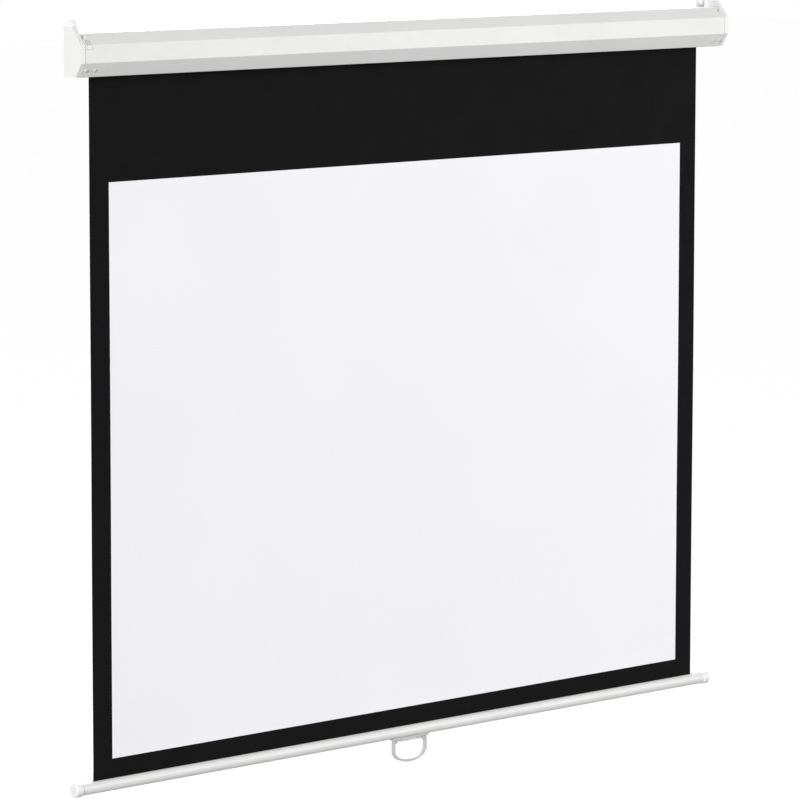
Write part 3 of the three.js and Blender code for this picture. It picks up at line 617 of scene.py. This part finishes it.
def buildCase(values):
    # the section carried from end to end, its wall laid inwards. Points and stations are added
    # where the window and the notches begin and end, so that each of them is whole cells left out.
    line, outward = caseProfile(values)
    run = np.concatenate([[0], np.cumsum(np.linalg.norm(np.diff(line, axis=0), axis=1))])
    # the bend between the front face and the upper bevel, the section's fourth: its first point and
    # its last, and how far each of them lies from the sharp corner that it rounds
    first = 1 + 3 * (values["steps"] + 1)
    last = first + values["steps"]
    turn = np.arctan2(values["bevelDepth"], values["upperBevelHeight"])
    tangent = values["bend"] * np.tan(turn / 2)
    below, above = values["windowSpan"]
    windowRun = np.array([run[first] + tangent + below, run[last] - tangent + above])
    notchRun = run[last] - tangent + np.array(values["notchSpan"])
    allRun = np.unique(np.round(np.concatenate([run, windowRun, notchRun]), 6))
    line = np.stack([np.interp(allRun, run, line[:, i]) for i in range(2)], -1)
    outward = np.stack([np.interp(allRun, run, outward[:, i]) for i in range(2)], -1)
    outward /= np.linalg.norm(outward, axis=1)[:, None]
    end = caseHigh[0]
    notchX = end - values["notchInset"]
    windowX = -end + values["windowInset"] + np.array([0, values["windowWidth"]])
    stations = np.unique([-end, -notchX, *windowX, notchX, end])
    rowMiddle = (allRun[1:] + allRun[:-1]) / 2
    columnMiddle = (stations[1:] + stations[:-1]) / 2
    inWindow = np.outer((rowMiddle > windowRun[0]) & (rowMiddle < windowRun[1]),
                        (columnMiddle > windowX[0]) & (columnMiddle < windowX[1]))
    inNotch = np.outer((rowMiddle > notchRun[0]) & (rowMiddle < notchRun[1]),
                       np.abs(columnMiddle) > notchX)
    outer = carried(line, stations) * mm
    inner = carried(line - values["wall"] * outward, stations) * mm
    dress(thickSheet("caseShell", outer, inner, ~(inWindow | inNotch)), "case_shell")


buildCase(case)

# End caps and hangers

endCaps = {
    "edge": 0.5,            # radius of the moulded edges
    "segments": 3,
    "paintedShadeTones": ("#cececd", "#d5d5d4"),    # painted shade on the part in the case and on the collar's side towards the seam
    "notchShadeTones": ("#dadad9", "#e1e1e0"),    # painted shade in the notch, darker as if in the recess's shadow
    "wellDepth": 5.2,       # of the notch's floor under the bevel
    "seam": 1,              # between the case and the collar
    "margin": 0.1,          # a face's middle may miss its place by this
}
# painted shade: darker copies of the moulded white plastic, for faces that should look shadowed
paintedShadeFinishes = [mouldedAbs(name, {**plastic, "colours": endCaps[tones]})
                for name, tones in (("paintedShadeAbs", "paintedShadeTones"), ("paintedNotchShadeAbs", "notchShadeTones"))]


def paintShadeOnSunkFaces(piece, values):
    # by its middle, a face that lies in the case (but for the lug in the window) or faces it over
    # the seam gets painted shade, slot 1, darker as if in shadow. One between the notch's ends and
    # above its floor, measured along and under the bevel, gets the notch's painted shade, slot 2,
    # darker as if in the recess's shadow.
    middles = np.empty(len(piece.data.polygons) * 3)
    piece.data.polygons.foreach_get("center", middles)
    x, y, z = middles.reshape(-1, 3).T / mm
    way = np.array([case["bevelDepth"], case["upperBevelHeight"]])
    way = way / np.linalg.norm(way)
    y, z = y - caseLow[1], z - caseHigh[2] + case["upperBevelHeight"]
    along = y * way[0] + z * way[1]
    under = y * way[1] - z * way[0]
    fromEnd = caseHigh[0] - np.abs(x)
    margin = values["margin"]
    # painted shade: faces inside the case and the collar's side at the seam, darkened as if in
    # shadow
    sunk = (fromEnd > margin) & (y > case["wall"] + margin)
    sunk |= np.abs(fromEnd + values["seam"]) < margin
    start, end = case["notchSpan"]
    # painted shade: the notch's floor and walls, darkened as if in the recess's shadow
    well = (np.abs(along - (start + end) / 2) < (end - start) / 2 + margin) & (under > 0)
    well &= (under < values["wellDepth"]) & (fromEnd > -values["seam"])
    well &= fromEnd < case["notchInset"] + margin
    for finish in paintedShadeFinishes:
        piece.data.materials.append(finish)
    piece.data.polygons.foreach_set("material_index", np.where(well, 2, sunk * 1).astype(np.int32))


for side in ("left", "right"):
    endCap = roundedCopy(side + "EndCap", side + "_end_cap", endCaps["edge"], endCaps["segments"])
    paintShadeOnSunkFaces(endCap, endCaps)
hangers = {"edge": 0.3, "segments": 2}
for side in ("left", "right"):
    roundedCopy(side + "Hanger", side + "_hanger", **hangers)
print("case, end caps and hangers")

# Screws

screws = {
    "grip": 3.6,            # length of the shank
    "shank": 1.4,           # its radius
    "tip": 0.5,             # length of its pointed end
    "tipShare": 0.3,        # what that leaves of the radius
    "head": 3,              # radius
    "height": 1.6,
    "underEdge": 0.12,      # bevel on the head's underside
    "rim": 0.75,            # height of the head's straight side
    "swell": 0.45,          # power of the cosine in the dome, 1 for a plain ellipse
    "domeSteps": 8,
    "topRings": 22,         # close together over the dome's top, for the cross
    "recess": 1.75,         # half length of the cross
    "recessWidth": 0.62,
    "recessDepth": 1.0,
    "slope": 0.35,          # width over which its sides run down
    "capInsets": (5, 21),   # from the case's end
    "seat": 0.3,            # the head lies this far off the skin, as in the frame
    "steps": 64,
    "seed": 7,              # for the angle to which each screw was driven
}


def screwGrid(values):
    # rings from the shank's tip over the head to its middle. The dome's height is a sine and its
    # radius a power of a cosine, less a cross whose sides slope down to its floor.
    head, height, rim, under = (values[key] for key in ("head", "height", "rim", "underEdge"))
    low = np.array([
        (-values["grip"], values["tipShare"] * values["shank"]),
        (values["tip"] - values["grip"], values["shank"]),
        (0, values["shank"]),
        (0, head - under),
        (under, head),
        (rim, head),
    ])
    quarter = np.linspace(0, np.pi / 2, values["domeSteps"] + 1)[1:]
    dome = np.stack([rim + (height - rim) * np.sin(quarter),
                     head * np.cos(quarter) ** values["swell"]], -1)
    # the dome's last two rings give way to close ones, laid on the lines between its points
    radii = np.linspace(dome[-3, 1], 0, values["topRings"] + 2)[1:-1]
    top = np.stack([np.interp(-radii, -dome[:, 1], dome[:, 0]), radii], -1)
    rings = np.concatenate([low, dome[:-2], top])
    angle = fullTurn(values["steps"])
    x = rings[:, 1:] * np.cos(angle)
    y = rings[:, 1:] * np.sin(angle)
    half = values["recessWidth"] / 2
    slope = values["slope"]
    arms = [np.clip((half + slope / 2 - np.abs(across)) / slope, 0, 1)
            * np.clip((values["recess"] - np.abs(along)) / (2 * slope), 0, 1)
            for across, along in ((x, y), (y, x))]
    onTop = (np.arange(len(rings)) >= len(low))[:, None]
    z = rings[:, :1] - onTop * np.maximum(*arms) * values["recessDepth"]
    return np.stack([x, y, z], -1)


def placeScrew(name, node, at, out, spin, finish=None):
    # the screw's own Z axis is laid along out, after a turn about it
    turn = Vector((0, 0, 1)).rotation_difference(Vector(out)).to_matrix()
    turn = np.array(turn @ Matrix.Rotation(spin, 3, "Z"))
    grid = screwGrid(screws) @ turn.T + np.array(at)
    dress(roundGrid(name, grid * mm), node, finish)


lowerBevel = Vector((0, -case["lowerBevelHeight"], -case["bevelDepth"])).normalized()
bevelMiddle = (caseLow[1] + case["bevelDepth"] / 2, caseLow[2] + case["lowerBevelHeight"] / 2)
# an angle for each of the caps' four screws, the hangers' four and the handle's two
spins = np.random.default_rng(screws["seed"]).uniform(0, np.pi / 2, 10)
for i, (side, number) in enumerate((s, n) for s in (-1, 1) for n in (1, 2)):
    label = "left" if side < 0 else "right"
    x = side * (caseHigh[0] - screws["capInsets"][number - 1])
    at = np.array([x, *bevelMiddle]) + screws["seat"] * np.array(lowerBevel)
    placeScrew(f"{label}CapScrew{number}", f"{label}_cap_screw_{number}", at, lowerBevel, spins[i],
               paintedScrew)
    node = f"{label}_hanger_screw_{number}"
    low, high = cornersOf(node)
    at = ((low[0] + high[0]) / 2, high[1] - screws["height"], (low[2] + high[2]) / 2)
    placeScrew(f"{label}HangerScrew{number}", node, at, (0, 1, 0), spins[4 + i])
for i, label in enumerate(("left", "right")):
    node = label + "_handle_screw"
    low, high = cornersOf(node)
    at = ((low[0] + high[0]) / 2, (low[1] + high[1]) / 2, low[2] + screws["height"])
    placeScrew(label + "HandleScrew", node, at, (0, 0, -1), spins[8 + i])
print("screws")

# Cloth

cloth = {
    "ripple": 0.35,         # how far the hanging cloth sways in and out
    "rippleWidth": 430,
    "rippleHeight": 760,
    "wander": 1.1,          # radians by which the ripples shift sideways down the height
    "columns": 96,
    "rows": 84,
}


def sway(x, z, values):
    # a sine across the width whose phase wanders as a sine down the height, faded out at the
    # roller and the bar
    fade = np.sin(np.pi * np.clip(z / backLow[2], 0, 1))
    shift = values["wander"] * np.sin(2 * np.pi * z / values["rippleHeight"])
    return values["ripple"] * fade * np.sin(2 * np.pi * x / values["rippleWidth"] + shift)


def hangingSheet(name, low, high, values):
    # a flat grid between two corners whose both sides sway alike
    x = np.linspace(low[0], high[0], values["columns"] + 1)
    z = np.linspace(high[2], low[2], values["rows"] + 1)
    z, x = np.meshgrid(z, x, indexing="ij")
    shift = sway(x, z, values)
    front = np.stack([x, low[1] + shift, z], -1) * mm
    back = np.stack([x, high[1] + shift, z], -1) * mm
    return thickSheet(name, front, back)


def buildCloth(values):
    # the black cloth and the coat on its front, each a swaying sheet with a mesh of its own
    for name, node, low, high in (("screenCloth", "black_backing", backLow, backHigh),
                                  ("pictureCoat", "white_face", faceLow, faceHigh)):
        sheet = dress(hangingSheet(name, low, high, values), node)
        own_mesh(sheet)


wraps = {
    "thickness": 0.2,
    "turns": 2,             # that stay on the roller with the screen down
    "gap": 0.05,            # between the roller and the first turn
    "steps": 96,            # a turn
}


def buildWraps(values):
    # a spiral carried across the width: its radius grows by one spacing a turn
    low, high = cornersOf("cloth_wraps")
    tubeLow, tubeHigh = cornersOf("roller_tube")
    start = (tubeHigh[2] - tubeLow[2]) / 2 + values["gap"]
    spacing = ((high[2] - low[2]) / 2 - start - values["thickness"]) / values["turns"]
    angle = np.linspace(0, 2 * np.pi * values["turns"], values["steps"] * values["turns"] + 1)
    radius = start + spacing * angle / (2 * np.pi)
    spoke = np.stack([np.cos(angle), np.sin(angle)], -1)
    centre = np.array([(low[1] + high[1]) / 2, 0])
    stations = np.array([low[0], high[0]])
    inner = carried(centre + radius[:, None] * spoke, stations) * mm
    outer = carried(centre + (radius + values["thickness"])[:, None] * spoke, stations) * mm
    spiral = dress(thickSheet("rollerWraps", outer, inner), "cloth_wraps")


hem = {
    "rodGap": 0.3,          # between the hem rod and the cloth round it
    "apex": 1.5,            # from the loop's top to where the lines that touch it would meet
    "neck": (1.5, 0.4),     # above that: where the sides start to part, and a point on their way
    "lean": 0.1,            # how far each side is out at that point
    "gap": 0.05,            # between the cloth and its turned-up end
    "rise": 14,             # the welded end's height above the loop
    "steps": 36,            # of the loop
    "sharp": 60,            # degrees
}


def buildHem(values):
    # down into the bar's slot, round the hem rod as a drop, and up again behind itself to the weld:
    # an arc and the lines that lead to it, with half of the thickness laid to either side
    low, high = cornersOf("bottom_border_cloth")
    rodLow, rodHigh = cornersOf("hem_rod")
    rodZ = (rodLow[2] + rodHigh[2]) / 2
    thick = (backHigh - backLow)[1]
    radius = (rodHigh[2] - rodLow[2]) / 2 + values["rodGap"] + thick / 2
    apex = radius + values["apex"]
    touch = np.degrees(np.arccos(radius / apex))
    loop = arc((0, 0), radius, 90 + touch, 450 - touch, values["steps"])
    behind = thick + values["gap"]
    upper, lower = values["neck"]
    lean = values["lean"]
    line = np.concatenate([
        [(0, high[2] - rodZ), (0, apex + upper), (-lean, apex + lower)],
        loop,
        [(behind + lean, apex + lower), (behind, apex + upper), (behind, apex + values["rise"])],
    ])
    way = np.gradient(line, axis=0)
    way /= np.linalg.norm(way, axis=1)[:, None]
    side = np.stack([-way[:, 1], way[:, 0]], -1) * thick / 2
    centre = np.array([(backLow[1] + backHigh[1]) / 2, rodZ])
    stations = np.array([low[0], high[0]])
    border = thickSheet("bottomBorder", carried(centre + line + side, stations) * mm,
                        carried(centre + line - side, stations) * mm, sharp=values["sharp"])
    dress(border, "bottom_border_cloth")


buildWraps(wraps)
buildCloth(cloth)
buildHem(hem)
print("cloth")

# Bottom bar and handle

bar = {"wall": 1, "slot": 3, "steps": 96}
barCaps = {
    "plugGap": 0.3,         # between the plug and the bar's inside
    "ring": 0.4,            # radius of the small edges
    "ringSteps": 4,
    "edge": 2.4,            # radius of the rounded end
    "edgeSteps": 10,
    "steps": 72,
}


def buildBar(values):
    # a round tube open along its top: two arcs, from one edge of the slot round to the other
    low, high = cornersOf("bottom_bar")
    radius = (high[1] - low[1]) / 2
    centre = np.array([(high[1] + low[1]) / 2, low[2] + radius])
    stations = np.array([low[0], high[0]])
    walls = []
    for reach in (radius, radius - values["wall"]):
        half = np.degrees(np.arcsin(values["slot"] / 2 / reach))
        line = arc(centre, reach, 90 + half, 450 - half, values["steps"])
        walls.append(carried(line, stations) * mm)
    dress(thickSheet("bottomBar", *walls), "bottom_bar")
    return centre


def buildBarCap(side, centre, values):
    # a plug, a ring a little proud of the bar and a rounded end, turned about the bar's axis
    low, high = cornersOf(side + "_bar_cap")
    barLow, barHigh = cornersOf("bottom_bar")
    barEnd = barHigh[0]
    start, end = np.sort(np.abs([low[0], high[0]]))
    radius = (high[2] - low[2]) / 2
    plug = (barHigh[1] - barLow[1]) / 2 - bar["wall"] - values["plugGap"]
    edge, ring = values["edge"], values["ring"]
    profile = np.concatenate([
        [(start, plug - ring), (start + ring, plug), (barEnd, plug), (barEnd, radius - ring)],
        arc((barEnd + ring, radius - ring), ring, 180, 90, values["ringSteps"])[1:],
        arc((end - edge, radius - edge), edge, 90, 0, values["edgeSteps"]),
    ])
    grid = turnedGrid(profile, values["steps"])
    if side == "left":
        grid[..., 0] *= -1
    grid[..., 1:] += centre
    dress(roundGrid(side + "BarCap", grid * mm), side + "_bar_cap")


barCentre = buildBar(bar)
for side in ("left", "right"):
    buildBarCap(side, barCentre, barCaps)
handleBracket = {"edge": 0.5, "segments": 3}
pullHandle = {"edge": 1.0, "segments": 4}
roundedCopy("handleBracket", "handle_bracket", **handleBracket)
roundedCopy("pullHandle", "pull_handle", **pullHandle)
print("bar and handle")

# Spring inside the roller

spring = {
    "wire": 2,              # diameter
    "radius": 8.6,          # of the coil, at the wire's middle
    "turns": 24,
    "stepsPerTurn": 40,
    "sides": 12,            # of the wire
    "sharp": 40,            # degrees
}


def buildSpring(values):
    # a tube round a helix: the ring at each step lies across the helix's way
    low, high = cornersOf("torsion_spring")
    tubeLow, tubeHigh = cornersOf("roller_tube")
    axisY = (tubeLow[1] + tubeHigh[1]) / 2
    steps = values["turns"] * values["stepsPerTurn"]
    angle = np.linspace(0, 2 * np.pi * values["turns"], steps + 1)
    wire = values["wire"] / 2
    along = np.linspace(low[0] + wire, high[0] - wire, steps + 1)
    outward = np.stack([0 * angle, np.cos(angle), np.sin(angle)], -1)
    line = np.stack([along, axisY + 0 * angle, 0 * angle], -1) + values["radius"] * outward
    way = np.gradient(line, axis=0)
    way /= np.linalg.norm(way, axis=1)[:, None]
    third = np.cross(way, outward)
    ring = fullTurn(values["sides"])[:, None]
    grid = line[:, None] + wire * (np.cos(ring) * outward[:, None] + np.sin(ring) * third[:, None])
    dress(roundGrid("torsionSpringWire", grid * mm, values["sharp"]), "torsion_spring")


buildSpring(spring)
print("spring")

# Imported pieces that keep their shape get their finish

for node, packed in frame["nodes"].items():
    if not packed.hide_render:
        packed.data.materials.clear()
        packed.data.materials.append(finishes[slotOf[node]])
print("inner pieces")

# Floor, world and lamps

studio = {
    "floorZ": -2.1,         # m, a floor at room distance below a screen hung at head height
    "floorHalf": 30,        # m
    "floorColour": "#707070",
    "floorLift": 0.95,      # the floor's own white in the camera's eye
    "worldLight": 0.2,      # what the white world gives the object, 1 being what the camera sees
    "lamps": (
        # name, place, aim and size in m, power in W
        ("keyLamp", (-15.3, -9.3, 3.4), (0, 0, -0.4), 5, 3330),
        ("fillLamp", (2.6, -3.4, 0), (0, 0, -0.4), 2.2, 70),
        ("backLamp", (2.4, 3.6, 2.6), (0, 0, -0.4), 2.2, 260),
    ),
}


def seenRays(tree):
    # 1 for rays of the camera, of reflections and of things seen through glass
    path = addNode(tree, "ShaderNodeLightPath")
    both = addNode(tree, "ShaderNodeMath", {"operation": "MAXIMUM"},
                   {0: path.outputs["Is Camera Ray"], 1: path.outputs["Is Glossy Ray"]})
    return addNode(tree, "ShaderNodeMath", {"operation": "MAXIMUM"},
                   {0: both.outputs[0], 1: path.outputs["Is Transmission Ray"]}).outputs[0]


def buildFloor(values):
    # pale painted concrete, dull: it takes the object's shadow, and to the camera it glows white
    half, z = values["floorHalf"], values["floorZ"]
    corners = [(x, y, z) for x, y in ((-half, -half), (half, -half), (half, half), (-half, half))]
    mesh = bpy.data.meshes.new("floor")
    mesh.from_pydata(corners, [], [(0, 1, 2, 3)])
    floor = bpy.data.objects.new("floor", mesh)
    bpy.context.scene.collection.objects.link(floor)
    material, tree = newTree("palePaintedFloor")
    paint = linearColour(values["floorColour"])
    diffuse = addNode(tree, "ShaderNodeBsdfDiffuse", {"Color": paint})
    strength = addNode(tree, "ShaderNodeMath", {"operation": "MULTIPLY", 1: values["floorLift"]},
                       {0: seenRays(tree)})
    lift = addNode(tree, "ShaderNodeEmission", {}, {"Strength": strength.outputs[0]})
    both = addNode(tree, "ShaderNodeAddShader", {}, {0: diffuse.outputs[0], 1: lift.outputs[0]})
    addNode(tree, "ShaderNodeOutputMaterial", {}, {"Surface": both.outputs[0]})
    mesh.materials.append(material)


def buildWorld(values):
    # white all round: dim as a light on the object, full for the camera and for reflections
    world = bpy.data.worlds.new("studioWorld")
    world.use_nodes = True
    world.node_tree.nodes.clear()
    tree = world.node_tree
    strength = addNode(tree, "ShaderNodeMapRange", {"To Min": values["worldLight"], "To Max": 1},
                       {"Value": seenRays(tree)})
    sky = addNode(tree, "ShaderNodeBackground", {"Color": (1, 1, 1, 1)},
                  {"Strength": strength.outputs["Result"]})
    addNode(tree, "ShaderNodeOutputWorld", {}, {"Surface": sky.outputs[0]})
    bpy.context.scene.world = world


def buildLamps(values):
    # square soft boxes, each turned towards what it is aimed at
    for name, place, aim, size, power in values["lamps"]:
        light = bpy.data.lights.new(name, "AREA")
        light.shape = "SQUARE"
        light.size = size
        light.energy = power
        lamp = bpy.data.objects.new(name, light)
        bpy.context.scene.collection.objects.link(lamp)
        lamp.visible_camera = False
        turn = (Vector(aim) - Vector(place)).to_track_quat("-Z", "Y")
        lamp.matrix_world = Matrix.Translation(place) @ turn.to_matrix().to_4x4()


buildFloor(studio)
buildWorld(studio)
buildLamps(studio)
bpy.context.scene.view_settings.view_transform = "Standard"
print("studio")
